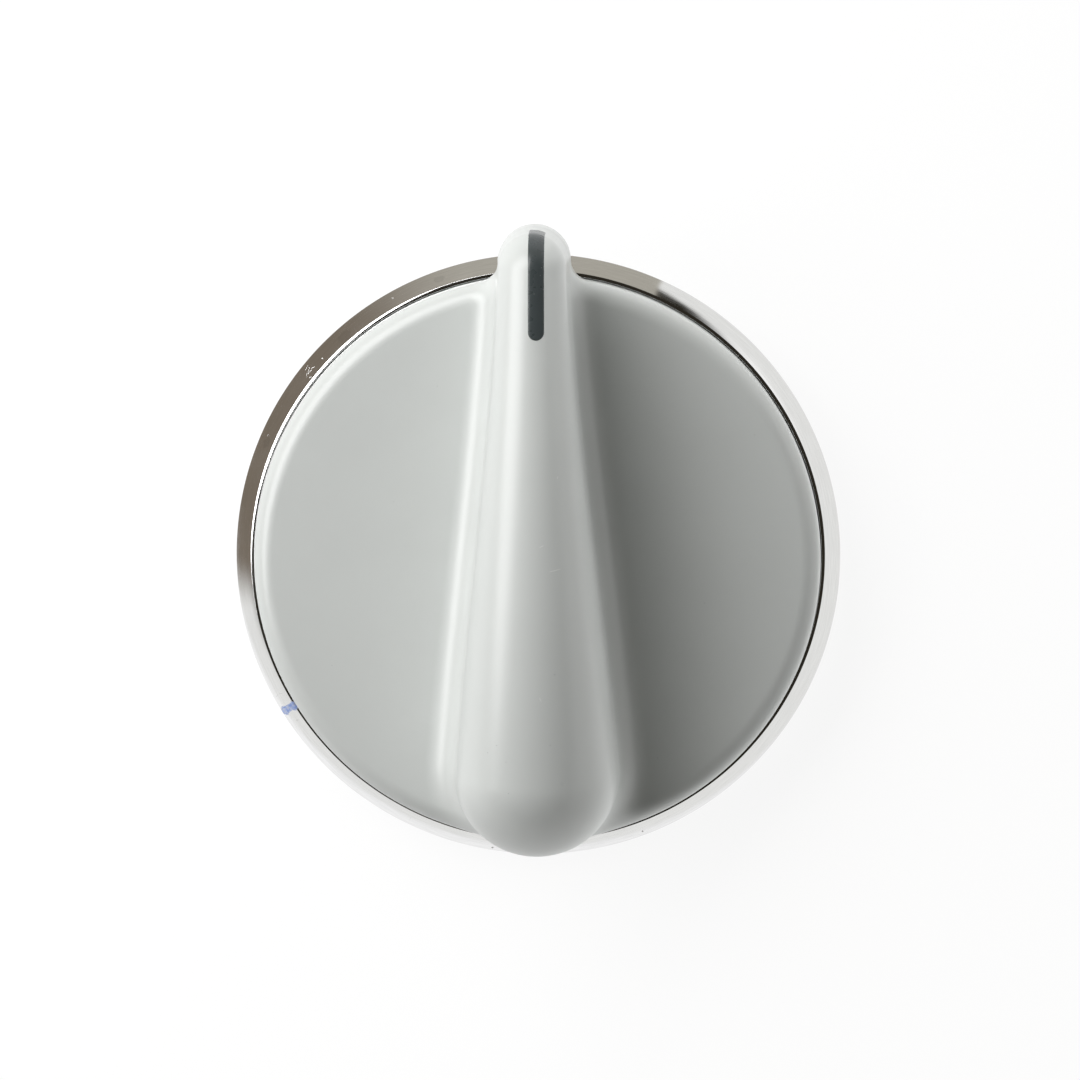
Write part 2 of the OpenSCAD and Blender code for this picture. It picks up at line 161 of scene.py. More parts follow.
class KnobSmallSizes(bpy.types.PropertyGroup):
    """Sizes of the spring clip and of the pointer line."""

    clip_outer: size("Clip radius", "Outer radius of the clip", CLIP_HIGH.x)
    clip_thickness: size("Clip thickness", "Thickness of the clip's spring steel", 0.6 * MM)
    clip_low: size("Clip low", "Height of the clip's rear edge", CLIP_LOW.z)
    clip_high: size("Clip high", "Height of the clip's front edge", CLIP_HIGH.z)
    clip_gap: angle("Clip gap", "Opening of the clip round the hub", 50)
    line_width: size("Line width", "Width of the pointer line", 1.55 * MM)
    line_end: size("Line end", "Place of the pointer line's inner end", LINE_LOW.y)
    line_side: size("Line side", "Distance of the line from the grip's middle", 0.5 * MM)
    line_proud: size("Line proud", "How far the line stands proud of the moulding", 0.03 * MM)


class KnobFinishes(bpy.types.PropertyGroup):
    """Colours of the knob's finishes."""

    moulding: colour("Moulding", "Pale grey of the moulded ABS", "#c6c9c7")
    plating: colour("Plating", "Colour of the chrome plating", "#f0f0f0")
    ink: colour("Ink", "Dark grey of the pointer line", "#3b4142")
    steel: colour("Steel", "Blue-grey of the tempered spring steel", "#8f9296")
    blue_mark: colour("Blue mark", "Smear of blue ink on the ring", "#8399cf")


class KnobStageSizes(bpy.types.PropertyGroup):
    """The camera, the floor and the light."""

    view_width: size("View width", "Width of what the camera sees at the knob's rear", 107 * MM)
    camera_distance: size("Camera distance", "Distance from the camera to its aim", 600 * MM)
    tilt_x: amount("Tilt to the right", "Slope of the camera's line of sight towards +X", 0.028)
    tilt_y: amount("Tilt to the pointer", "Slope of the camera's line of sight towards +Y", 0.115)
    roll: angle("Roll", "Turn of the camera about its line of sight", 0.51)
    aim_x: size("Aim right", "Place that the camera aims at, along X", 0.25 * MM)
    aim_y: size("Aim up", "Place that the camera aims at, along Y", 1.68 * MM)
    aim_z: size("Aim height", "Height that the camera aims at", 5 * MM)
    floor_radius: size("Floor radius", "Radius of the floor", 3000 * MM)
    key_turn: angle("Key turn", "Direction of the key lamp round the axis, from +X", 147)
    key_rise: angle("Key rise", "Height of the key lamp above the floor, as an angle", 38)
    key_distance: size("Key distance", "Distance of the key lamp from the knob", 450 * MM)
    key_width: size("Key width", "Width of the oval key lamp", 860 * MM)
    key_tall: size("Key height", "Height of the oval key lamp", 290 * MM)
    key_watts: amount("Key power", "Power of the key lamp in watts", 3.5)
    floor_glow: amount("Floor glow", "Light that the right side of the floor adds to what falls on it", 1.4)
    glow_reach: size("Glow reach", "Distance from the axis at which the glow is full", 60 * MM)
    strip_level: amount("Strip level", "Light of the strip low on the right side of the room", 1.2)
    horizon: colour("Horizon", "Pale studio walls near the floor", "#eeeeec")
    zenith: colour("Zenith", "Dimmer studio ceiling", "#2b2822")
    curtain_dark: colour("Dark curtain", "Darker part of the brown-grey curtain", "#7b7165")
    curtain_light: colour("Light curtain", "Lighter part of the brown-grey curtain", "#b0aca2")


def mix(a, b, t):
    """a where t is 0, b where t is 1, and in proportion between."""
    return a + (b - a) * t


def smooth(t):
    """0 below 0, 1 above 1, and 3 t squared less 2 t cubed between."""
    t = np.clip(t, 0, 1)
    return t * t * (3 - 2 * t)


def length(v):
    """Length of each vector along the last axis."""
    return np.sqrt((v * v).sum(-1))


def unit(v):
    """Each vector divided by its length."""
    return v / length(v)[..., None]


def rise(r, d):
    """Height of a quarter round of radius r at distance d from its outer edge: by Pythagoras."""
    inside = r - np.minimum(r, np.maximum(0, d))
    return np.sqrt(np.maximum(0, r * r - inside * inside))


class Teardrop:
    """A form seen from above: two round ends joined by sides on a cubic curve.

    The half-width at u, from 0 at the wide end to 1 at the tip, is the cubic that meets both
    round ends along their tangents.
    """

    def __init__(self, s, wide_place, wide_radius, tip_place, tip_radius):
        self.wide_place, self.wide_radius = wide_place, wide_radius
        self.tip_place, self.tip_radius = tip_place, tip_radius
        self.wide_taper, self.tip_taper = s.wide_taper, s.tip_taper
        self.wide_join, self.tip_join = math.atan(s.wide_taper), math.atan(s.tip_taper)
        self.low = wide_place + wide_radius * math.sin(self.wide_join)
        self.top = tip_place + tip_radius * math.sin(self.tip_join)

    def half_width(self, u):
        """Hermite cubic: both end widths, less the slopes of both ends times the length."""
        wide = self.wide_radius * math.cos(self.wide_join)
        tip = self.tip_radius * math.cos(self.tip_join)
        slopes = (u**3 - 2 * u**2 + u) * self.wide_taper + (u**3 - u**2) * self.tip_taper
        width = (2 * u**3 - 3 * u**2 + 1) * wide + (3 * u**2 - 2 * u**3) * tip
        return width - (self.top - self.low) * slopes

    def slope(self, u):
        """Derivative of the half-width along the form."""
        wide = self.wide_radius * math.cos(self.wide_join)
        tip = self.tip_radius * math.cos(self.tip_join)
        widths = (6 * u**2 - 6 * u) * (wide - tip) / (self.top - self.low)
        return widths - (3 * u**2 - 4 * u + 1) * self.wide_taper - (3 * u**2 - 2 * u) * self.tip_taper

    def feet(self, layout):
        """Points of the form's edge at the stations, and the place of the middle line each belongs to.

        Round ends are arcs about their centres. On the sides the middle place is where the normal
        meets the middle line: y plus half-width times slope.
        """
        tip = np.stack([np.cos(layout.tip_angle), np.sin(layout.tip_angle)], -1) * self.tip_radius
        wide = np.stack([np.cos(layout.wide_angle), np.sin(layout.wide_angle)], -1) * self.wide_radius
        width, slope = self.half_width(layout.place), self.slope(layout.place)
        y = mix(self.low, self.top, layout.place)
        side = np.stack([width, y], -1)
        points = np.concatenate([tip + [0, self.tip_place], side, wide + [0, self.wide_place]])
        middle = np.concatenate([
            np.full(len(tip), self.tip_place), y + width * slope, np.full(len(wide), self.wide_place)
        ])
        return points, middle


class Layout:
    """Stations along the right half of the moulding: round the tip, along the web, along the side
    and round the wide end, with the moulding's outline and the height of its lower rim at each."""

    TIP, WEB, SIDE, WIDE = 26, 24, 120, 84
    OVER_FADE = 3 * MM
    OVER_NEAR = 0.35 * MM

    def __init__(self, s):
        grip = self.grip = Teardrop(s, s.wide_place, s.wide_radius, s.tip_place, s.tip_radius)
        self.hollow = Teardrop(
            s, s.hollow_wide_place, s.hollow_wide_radius, s.hollow_tip_place, s.hollow_tip_radius
        )
        self.last = self.TIP + self.WEB + self.SIDE + self.WIDE
        self.around = 2 * self.last

        web_x = s.tip_radius * math.cos(grip.tip_join) + s.over_lean + s.web_radius
        web_y = math.sqrt((s.face_radius + s.web_radius) ** 2 - web_x**2)
        web_turn = math.atan2(web_y, web_x)
        self.tip_angle = mix(math.pi / 2, grip.tip_join, np.arange(self.TIP) / self.TIP)
        web_t = np.arange(self.WEB) / self.WEB
        side_t = np.arange(self.SIDE + 1) / self.SIDE
        wide_t = np.arange(1, self.WIDE + 1) / self.WIDE
        self.wide_angle = mix(grip.wide_join, -math.pi / 2, wide_t * mix(0.5, 1, wide_t))

        edge_start = math.pi / 2 - web_turn
        stop = self.ray(s, np.array([grip.wide_join]))[0]
        edge_stop = math.pi / 2 - math.atan2(stop[1], stop[0])
        edge = mix(edge_start, edge_stop, side_t)
        level = (math.cos(edge_start) - np.cos(edge)) / (math.cos(edge_start) - math.cos(edge_stop))
        y = np.concatenate([mix(grip.top, s.web_side, web_t), mix(s.web_side, grip.low, level)])
        self.place = (y - grip.low) / (grip.top - grip.low)

        self.foot, self.middle = grip.feet(self)
        self.normal = unit(self.foot - np.stack([0 * self.middle, self.middle], -1))
        leaned = self.foot + self.normal * s.over_lean
        web_angle = mix(math.pi, math.pi + web_turn, web_t)
        web = np.array([web_x, web_y]) + s.web_radius * np.stack([np.cos(web_angle), np.sin(web_angle)], -1)
        side = s.face_radius * np.stack([np.sin(edge), np.cos(edge)], -1)
        wide_leaned, wide_ray = leaned[-self.WIDE:], self.ray(s, self.wide_angle)
        wide_out = length(wide_leaned) - s.face_radius
        wide = np.where(wide_out[:, None] > 0, wide_leaned, wide_ray)
        self.outline = np.concatenate([leaned[:self.TIP], web, side, wide])
        self.over = np.concatenate([
            np.ones(self.TIP + self.WEB),
            1 - smooth((edge - edge_start) * s.face_radius / self.OVER_FADE),
            smooth((wide_out + self.OVER_NEAR) / self.OVER_NEAR),
        ])
        self.edge = s.face_height - s.edge_radius
        self.rim = mix(self.edge, s.over_height, self.over)

    @staticmethod
    def ray(s, turn):
        """Where rays from the wide end's centre meet the face's edge: root of the circle's equation."""
        way = np.stack([np.cos(turn), np.sin(turn)], -1)
        along = s.wide_place * way[:, 1]
        far = -along + np.sqrt(along**2 - s.wide_place**2 + s.face_radius**2)
        return way * far[:, None] + [0, s.wide_place]


def crown_height(s, y):
    """The crown's long arch: a parabola of the arch's radius about its highest place."""
    return s.crown_height - (y - s.crown_place) ** 2 / (2 * s.arch_radius)


def fillet_radius(s, y):
    """Fillet radius, in proportion between the wide end and the tip."""
    return mix(s.wide_fillet, s.tip_fillet, np.clip((y - s.wide_place) / (s.tip_place - s.wide_place), 0, 1))


def lifted(points, z):
    """Points seen from above, given their heights."""
    return np.concatenate([points, np.broadcast_to(z, points.shape[:-1])[..., None]], -1)


def skin(s, layout, p):
    """Points p of the skin with their heights: the rounded edge rises from the outline and the
    fillet rises to the grip's foot, and the two heights are added."""
    fillet = fillet_radius(s, layout.foot[:, 1])
    from_circle = s.face_radius - length(p)
    from_outline = length(layout.outline - p)
    from_edge = mix(from_circle, from_outline, layout.over)
    from_foot = ((p - layout.foot) * layout.normal).sum(-1)
    return lifted(p, layout.edge + rise(s.edge_radius, from_edge) + fillet - rise(fillet, from_foot))


TIGHT_GAP, FULL_GAP = 2.5 * MM, 5.5 * MM
FILLET_SHARE, EDGE_SHARE = 0.55, 0.4


def across_face(layout):
    """Vector from the grip's foot to the outline, its length, and how free the face is there."""
    gap = layout.outline - layout.foot
    across = length(gap)
    return gap / across[:, None], across, np.clip((across - TIGHT_GAP) / (FULL_GAP - TIGHT_GAP), 0, 1)


def fillet_loop(s, layout, turn):
    """Loop of the fillet at an angle from 0 at the grip to a right angle at the face."""
    way, across, free = across_face(layout)
    way = unit(mix(way, layout.normal, free[:, None]))
    reach = np.minimum(fillet_radius(s, layout.foot[:, 1]), FILLET_SHARE * across)
    return skin(s, layout, layout.foot + way * (reach * (1 - math.cos(turn)))[:, None])


def edge_loop(s, layout, turn):
    """Loop of the rounded edge at an angle from 0 at the outline to a right angle at the face."""
    way, across, free = across_face(layout)
    way = unit(mix(-way, -unit(layout.outline), free[:, None]))
    reach = np.minimum(s.edge_radius, EDGE_SHARE * across)
    return skin(s, layout, layout.outline + way * (reach * (1 - math.cos(turn)))[:, None])


def crown_loop(s, layout, form, turn, lean, under):
    """Loop of a rounded crown: a round about the middle line whose radius is the form's half-width,
    hung under the long arch."""
    points, middle = form.feet(layout)
    spine = np.stack([0 * middle, middle], -1)
    arm = points - spine
    radius = length(arm) - lean
    p = spine + unit(arm) * (radius * math.cos(turn))[:, None]
    return lifted(p, crown_height(s, p[:, 1]) - under - radius * (1 - math.sin(turn)))


def circle_loop(layout, radius, z):
    """Loop on a circle about the axis, each point in its station's direction."""
    return lifted(unit(layout.outline) * radius, z)


EDGE_BREAK = 0.2 * MM
INNER_ROUND = 0.4 * MM
FOOT_DROP, SKIRT_DROP = 0.2 * MM, 0.5 * MM


def shell_loops(s, layout):
    """Half loops of the moulding, from the crown over the face and skirt and up into the hollow."""
    crown, fillet, edge, hollow = 26, 18, 16, 10
    right = math.pi / 2
    under = s.face_height - s.plate
    inner = s.face_radius - s.skirt
    loops = [
        crown_loop(s, layout, layout.grip, right * (1 - j / crown), s.lean, 0) for j in range(1, crown + 1)
    ]
    loops += [fillet_loop(s, layout, right * j / fillet) for j in range(fillet + 1)]
    loops += [edge_loop(s, layout, right * (1 - j / edge)) for j in range(edge + 1)]
    loops += [
        lifted(layout.outline, layout.rim - FOOT_DROP),
        circle_loop(layout, s.face_radius, layout.rim - SKIRT_DROP),
        circle_loop(layout, s.face_radius, s.skirt_height + EDGE_BREAK),
        circle_loop(layout, s.face_radius - EDGE_BREAK, s.skirt_height),
        circle_loop(layout, inner + EDGE_BREAK, s.skirt_height),
        circle_loop(layout, inner, s.skirt_height + EDGE_BREAK),
        circle_loop(layout, inner, under - INNER_ROUND),
        circle_loop(layout, inner - INNER_ROUND, under),
    ]
    mouth, _ = layout.hollow.feet(layout)
    loops.append(lifted(mouth, under))
    loops += [
        crown_loop(s, layout, layout.hollow, right * j / hollow, 0, s.crown_wall) for j in range(hollow)
    ]
    return np.array(loops)


def whole(half):
    """Half loops with their mirror images: the stations on the middle line are used once."""
    left = half[..., 1:-1, :][..., ::-1, :] * [-1, 1, 1]
    return np.concatenate([half, left], -2)


def shell_mesh(s):
    """Points and faces of the moulding's closed skin."""
    layout = Layout(s)
    loops = whole(shell_loops(s, layout))
    count, around = loops.shape[:2]
    sides = slice(layout.TIP, layout.TIP + layout.WEB + layout.SIDE + 1)
    right = math.pi / 2
    spines = [
        crown_loop(s, layout, layout.grip, right, s.lean, 0)[sides],
        crown_loop(s, layout, layout.hollow, right, 0, s.crown_wall)[sides],
    ]
    points = np.concatenate([loops.reshape(-1, 3)] + spines)

    faces = grid_faces(count, around, wrap_columns=True).tolist()
    i = np.arange(around)
    n = (i + 1) % around
    station = np.where(i <= layout.last, i, around - i)
    place = np.clip(station - layout.TIP, 0, layout.WEB + layout.SIDE)
    first = count * around
    for spine, loop, flip in ((0, 0, False), (1, count - 1, True)):
        start = first + spine * len(spines[0])
        a, b = start + place[i], start + place[n]
        low, high = loop * around + i, loop * around + n
        same = a == b
        ends = np.stack([a, low, high], -1)[same]
        quads = np.stack([a, low, high, b], -1)[~same]
        for part in (ends, quads):
            faces += (part[:, ::-1] if flip else part).tolist()
    return points, faces


def grid_faces(rows, columns, wrap_rows=False, wrap_columns=False):
    """Quads between neighbours of a grid whose points are numbered along its columns first."""
    r = np.arange(rows if wrap_rows else rows - 1)[:, None]
    c = np.arange(columns if wrap_columns else columns - 1)[None, :]
    r2, c2 = (r + 1) % rows, (c + 1) % columns
    quads = [r * columns + c, r2 * columns + c, r2 * columns + c2, r * columns + c2]
    return np.stack([q.ravel() for q in quads], -1)


def capped(rows):
    """Points and faces of a tube of rows of points, closed by a flat face at each end."""
    count, around = rows.shape[:2]
    faces = grid_faces(count, around, wrap_columns=True).tolist()
    faces.append(list(range(around)))
    faces.append(list(range(count * around - 1, (count - 1) * around - 1, -1)))
    return rows.reshape(-1, 3), faces


def ring_of(profile, turns):
    """Points of a closed or open profile of radius and height, carried round the axis."""
    around = np.stack([np.cos(turns), np.sin(turns)], -1)
    flat = profile[None, :, :1] * around[:, None, :]
    return lifted(flat, np.broadcast_to(profile[None, :, 1], flat.shape[:2]))


def rounded(corners, radii, count):
    """A closed outline with each corner replaced by an arc of count points.

    An arc of radius r touches both sides at r divided by the tangent of half the corner's angle.
    """
    corners = np.asarray(corners, float)
    back = unit(np.roll(corners, 1, 0) - corners)
    ahead = unit(np.roll(corners, -1, 0) - corners)
    half = np.arccos(np.clip((back * ahead).sum(-1), -1, 1)) / 2
    radii = np.asarray(radii, float)
    centre = corners + unit(back + ahead) * (radii / np.sin(half))[:, None]
    start = corners + back * (radii / np.tan(half))[:, None] - centre
    stop = corners + ahead * (radii / np.tan(half))[:, None] - centre
    t = np.linspace(0, 1, count)[None, :, None]
    span = (math.pi - 2 * half)[:, None, None]
    arc = (np.sin((1 - t) * span) * start[:, None] + np.sin(t * span) * stop[:, None]) / np.sin(span)
    return (centre[:, None] + arc).reshape(-1, 2)


def enclosed(points, faces):
    """Volume that a closed surface holds, below 0 if it is inside out: a third of the sum of each
    face's area times its distance from the origin along its normal."""
    total = 0.0
    for corners in {len(face) for face in faces}:
        p = points[np.array([face for face in faces if len(face) == corners])]
        for k in range(1, corners - 1):
            total += (p[:, 0] * np.cross(p[:, k], p[:, k + 1])).sum() / 6
    return total


def new_object(name, points, faces, material):
    """A mesh object at the origin, smooth apart from its sharp edges, its faces turned outwards."""
    mesh = bpy.data.meshes.new(name)
    mesh.from_pydata(points.tolist(), [], faces)
    mesh.materials.append(material)
    if enclosed(points, faces) < 0:
        mesh.flip_normals()
    mesh.polygons.foreach_set("use_smooth", np.ones(len(mesh.polygons), bool))
    mesh.set_sharp_from_angle(angle=SHARP_EDGE)
    obj = bpy.data.objects.new(name, mesh)
    bpy.context.scene.collection.objects.link(obj)
    return obj


def combine(obj, tool, operation):
    """Joins a tool to a closed solid, or cuts it out, and keeps the result as the object's mesh."""
    modifier = obj.modifiers.new(operation, "BOOLEAN")
    modifier.operation, modifier.solver, modifier.object = operation, "EXACT", tool
    shape = obj.evaluated_get(bpy.context.evaluated_depsgraph_get())
    old, obj.data = obj.data, bpy.data.meshes.new_from_object(shape)
    obj.modifiers.remove(modifier)
    obj.data.name = obj.name
    bpy.data.meshes.remove(old)
    tool_mesh = tool.data
    bpy.data.objects.remove(tool)
    bpy.data.meshes.remove(tool_mesh)


def finish_piece(obj, node):
    """Lets a new piece stand for its node: hangs it under the root body and hides the node's part."""
    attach(obj, "root")
    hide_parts(node)
    if obj.name not in bpy.data.objects or not len(obj.data.polygons):
        raise RuntimeError(f"{obj.name} has no surface")


def disc_turns(count):
    """Even turns round the axis, without the last that would meet the first."""
    return np.arange(count) * (2 * math.pi / count)


HUB_STEPS = 96
GROOVE_DEPTH = 0.5 * MM
CUT_PAST = 1 * MM
SHARP = 1e-6


def hub_parts(s):
    """Hub as a turned solid with the clip's groove in its side, and what is cut out of it."""
    radius, groove = s.hub_radius, s.hub_radius - GROOVE_DEPTH
    side = np.array([
        [radius - EDGE_BREAK, 0], [radius, EDGE_BREAK], [radius, CLIP_LOW.z], [groove, CLIP_LOW.z],
        [groove, CLIP_HIGH.z], [radius, CLIP_HIGH.z], [radius, s.hub_top - EDGE_BREAK],
        [radius - EDGE_BREAK, s.hub_top],
    ])
    turns = disc_turns(HUB_STEPS)
    hub = capped(ring_of(side, turns).transpose(1, 0, 2))

    def round_row(z):
        return np.stack([np.cos(turns) * s.mouth_radius, np.sin(turns) * s.mouth_radius, 0 * turns + z], -1)

    def d_row(z):
        y = np.minimum(np.sin(turns) * s.socket_radius, s.socket_flat)
        return np.stack([np.cos(turns) * s.socket_radius, y, 0 * turns + z], -1)

    bore = capped(np.array([
        round_row(-CUT_PAST), round_row(s.mouth_depth), d_row(s.mouth_depth), d_row(s.socket_depth)
    ]))
    return hub, bore


def bar(low, high, turn=0.0, round_low=0.0):
    """Straight bar between two corners, turned about the axis, its lower long edges rounded."""
    (x0, y0, z0), (x1, y1, z1) = low, high
    section = np.array([[y0, z1], [y0, z0], [y1, z0], [y1, z1]])
    if round_low:
        section = rounded(section, [SHARP, round_low, round_low, SHARP], 6)
    rows = np.array([np.insert(section, 0, x, axis=1) for x in (x0, x1)])
    c, n = math.cos(turn), math.sin(turn)
    return capped(rows @ np.array([[c, n, 0], [-n, c, 0], [0, 0, 1]]))


NOSE_RAMP = 0.8 * MM
FINGER_ROUNDS = np.array([0.2, 0.3, 0.2, 0.1, 0.15, 0.01, 0.01]) * MM


def finger_part(s, place):
    """Snap finger: its section carried a short way round the axis."""
    outer, top = s.finger_radius + s.finger, s.face_height - s.plate / 2
    section = rounded(
        [
            [s.finger_radius, s.finger_height], [outer, s.finger_height],
            [outer + s.nose, s.finger_height + NOSE_RAMP], [outer + s.nose, s.nose_height],
            [outer, s.nose_height], [outer, top], [s.finger_radius, top],
        ],
        FINGER_ROUNDS, 5,
    )
    turns = place + np.linspace(-0.5, 0.5, 15) * s.finger_angle
    return capped(ring_of(section, turns))


def node_adder(tree):
    """A function that adds a node to the tree and gives one of its outputs.

    Inputs come by place in a list, or by place or name in a dict. One that is another node's output
    is linked, and any other is set on the node. Settings are the node's own properties.
    """
    def add(kind, inputs=(), output=0, **settings):
        node = tree.nodes.new(kind)
        for key, value in settings.items():
            setattr(node, key, value)
        for key, value in inputs.items() if isinstance(inputs, dict) else enumerate(inputs):
            if isinstance(value, bpy.types.NodeSocket):
                tree.links.new(value, node.inputs[key])
            else:
                node.inputs[key].default_value = value
        return node.outputs[output] if node.outputs else None
    return add


def new_material(name):
    """An empty node material and its adder of nodes."""
    material = bpy.data.materials.new(name)
    material.use_nodes = True
    material.node_tree.nodes.clear()
    return material, node_adder(material.node_tree)


def tinted(paint, share=1.0):
    """A colour with a share of its light, in the four numbers that a node takes."""
    return (*(part * share for part in paint), 1)


# Settings of a Map Range node that eases in and out, and of a Mix node between two colours
EASED = {"interpolation_type": "SMOOTHSTEP"}
COLOURS = {"output": 2, "data_type": "RGBA"}
WHITE = (1, 1, 1, 1)


def painted(add, base, layers):
    """Marks laid over a base colour one after the other: each a mask, its strength and its colour."""
    for mask, strength, paint in layers:
        share = add("ShaderNodeMath", (mask, strength), operation="MULTIPLY")
        base = add("ShaderNodeMix", {0: share, 6: base, 7: paint}, **COLOURS)
    return base


# Real sizes of the patterns. Hair scratches and rolling lines are drawn several times as wide as they
# are, because they would be too fine to show.
RAGGED_EDGE = 0.35 * MM
MOULDING_CLOUDS = 9 * MM
HANDLED_PATCHES = 7 * MM
ORANGE_PEEL = 1.6 * MM
HAIR_SCRATCH = 0.09 * MM
PLATING_WAVES = 4 * MM
WIPING_STREAK = 0.12 * MM
WIPING_TURNS = 12.0
SMEAR_GRAIN = 0.28 * MM
PRINT_CLOUDS = 1.2 * MM
DUST_SPACING = 0.8 * MM
ROLLING_LINE = 0.08 * MM
TEMPER_CLOUDS = 3 * MM


def spots(add, place, marks, ragged=0.0):
    """Mask of small marks seen from above: 1 inside each, 0 outside, softer over its last part.

    Each mark is an ellipse given in millimetres and degrees as x, y, length, width and turn. The
    ragged amount is how far a fine noise pushes its edge, as a share of its size.
    """
    noise = add("ShaderNodeTexNoise", {"Vector": place, "Scale": 1 / RAGGED_EDGE}) if ragged else None
    mask = None
    for x, y, long, wide, turn in marks:
        local = add(
            "ShaderNodeMapping",
            {
                "Vector": place, "Location": (x * MM, y * MM, 0), "Rotation": (0, 0, math.radians(turn)),
                "Scale": (long / 2 * MM, wide / 2 * MM, 1),
            },
            vector_type="TEXTURE",
        )
        far = add("ShaderNodeVectorMath", [local], "Value", operation="LENGTH")
        if ragged:
            far = add("ShaderNodeMath", (noise, ragged, far), operation="MULTIPLY_ADD")
        inside = add("ShaderNodeMapRange", (far, 1.0, 0.7), **EASED)
        mask = inside if mask is None else add("ShaderNodeMath", (mask, inside), operation="MAXIMUM")
    return mask


def fine_lines(add, place, turn, long, sparse):
    """Mask of hair scratches: a noise stretched along them, cut off near its peaks."""
    local = add(
        "ShaderNodeMapping",
        {
            "Vector": place, "Rotation": (0, 0, math.radians(turn)),
            "Scale": (1 / long, 1 / HAIR_SCRATCH, 1 / long),
        },
    )
    noise = add("ShaderNodeTexNoise", {"Vector": local, "Scale": 1.0, "Detail": 1.0})
    return add("ShaderNodeMapRange", (noise, sparse, sparse + 0.06), **EASED)


# Wear on the moulding, each mark as x, y, length and width in millimetres and turn in degrees
GRIP_SCRATCHES = (
    (2.2, 0.95, 1.35, 0.12, 12), (0.95, 3.3, 0.55, 0.1, 25), (2.5, 9.8, 0.3, 0.1, 70),
    (0.7, -11.5, 0.5, 0.1, -65),
)
GRIP_SPECKS = (
    (2.1, -9.1, 0.18, 0.14, 0), (1.6, -16, 0.16, 0.14, 0), (-3.6, -16.1, 0.2, 0.14, 0),
    (-2.7, -17.7, 0.16, 0.12, 0), (-4.5, -16.9, 0.18, 0.16, 0), (-2.5, -20.8, 0.16, 0.16, 0),
    (16.5, -4.2, 0.15, 0.15, 0), (-14, 6, 0.14, 0.12, 0), (21.5, 12.4, 0.16, 0.12, 0),
    (-20.3, -10.2, 0.14, 0.14, 0), (11.8, -19.6, 0.18, 0.12, 30), (-9.6, 17.4, 0.14, 0.14, 0),
)
GRIP_SMUDGES = ((-3.6, -29, 0.6, 0.35, 20), (2.7, -19.9, 0.5, 0.7, 0))
BARED = tinted((0.9, 0.9, 0.88))


def moulded_abs(finishes):
    """ABS, injection moulded in a polished mould: an even pale grey with a soft gloss.

    Handling has left it slightly cloudy, with hair-fine scratches, a few pits and faint smudges, which
    show where a light edge is reflected. IOR 1.53 is that of ABS.
    """
    material, add = new_material("moulded ABS")
    place = add("ShaderNodeTexCoord", output="Object")
    grey = finishes.moulding
    cloud = add("ShaderNodeTexNoise", {"Vector": place, "Scale": 1 / MOULDING_CLOUDS, "Detail": 3.0})
    base = add("ShaderNodeMix", {0: cloud, 6: tinted(grey, 0.97), 7: tinted(grey, 1.03)}, **COLOURS)
    scratches = spots(add, place, GRIP_SCRATCHES)
    specks = spots(add, place, GRIP_SPECKS, 0.3)
    smudges = spots(add, place, GRIP_SMUDGES, 0.5)
    base = painted(add, base, (
        (specks, 0.4, tinted(grey, 0.45)), (smudges, 0.1, tinted(grey, 0.7)), (scratches, 0.3, BARED),
    ))

    along = fine_lines(add, place, 82, 5 * MM, 0.66)
    slanted = fine_lines(add, place, 28, 4 * MM, 0.68)
    lines = add("ShaderNodeMath", (along, slanted), operation="MAXIMUM")
    handled = add("ShaderNodeTexNoise", {"Vector": place, "Scale": 1 / HANDLED_PATCHES, "Detail": 1.0})
    handled = add("ShaderNodeMapRange", (handled, 0.45, 0.65), **EASED)
    lines = add("ShaderNodeMath", (lines, handled), operation="MULTIPLY")
    dull = add("ShaderNodeMath", (lines, 0.5), operation="MULTIPLY")
    dull = add("ShaderNodeMath", (dull, smudges), operation="MAXIMUM")
    dull = add("ShaderNodeMath", (dull, cloud), operation="ADD")
    rough = add("ShaderNodeMapRange", (dull, 0.3, 1.6, 0.31, 0.47), **EASED)
    shallow = add("ShaderNodeMath", (lines, 0.35), operation="MULTIPLY")
    deep = add("ShaderNodeMath", (scratches, specks), operation="MAXIMUM")
    deep = add("ShaderNodeMath", (shallow, deep), operation="MAXIMUM")
    peel = add("ShaderNodeTexNoise", {"Vector": place, "Scale": 1 / ORANGE_PEEL})
    peel = add("ShaderNodeMath", (peel, 0.25), operation="MULTIPLY")
    height = add("ShaderNodeMath", (peel, deep), operation="SUBTRACT")
    bump = add("ShaderNodeBump", {"Strength": 0.35, "Distance": 0.012 * MM, "Height": height})
    shader = add(
        "ShaderNodeBsdfPrincipled", {"Base Color": base, "Roughness": rough, "IOR": 1.53, "Normal": bump}
    )
    add("ShaderNodeOutputMaterial", [shader])
    return material


# Marks on the ring in the same form: wear, and darker patches of painted reflection. They end between these
# two heights, at the foot of the bevel.
MARKS_LOW, MARKS_FULL = 3.4 * MM, 3.75 * MM
BLUE_SMEAR = (
    (-24.4, -14.8, 1.4, 1.1, -58), (-25.3, -15.35, 1.4, 1.1, -58), (-24.95, -15.1, 2.1, 1, 32),
)
RING_SCRATCHES = (
    (-22.7, 18.9, 0.7, 0.05, 60), (-22.4, 18.5, 0.8, 0.05, 45), (-22.7, 18.2, 0.5, 0.05, 100),
    (-22.3, 18, 0.4, 0.05, 20), (-22.1, 18.9, 0.5, 0.04, 30), (-22.5, 18.7, 0.6, 0.04, 75),
    (-12.9, -26.2, 1, 0.05, 62),
)
RING_PITS = (
    (-21.1, 19.8, 0.2, 0.18, 0), (-14.1, 25.7, 0.2, 0.15, 0), (-4.8, -29.3, 0.3, 0.2, 0),
    (-3.3, -29.5, 0.3, 0.16, 0), (10.2, -27.7, 0.25, 0.25, 0), (-26.6, 12.2, 0.2, 0.12, 0),
)
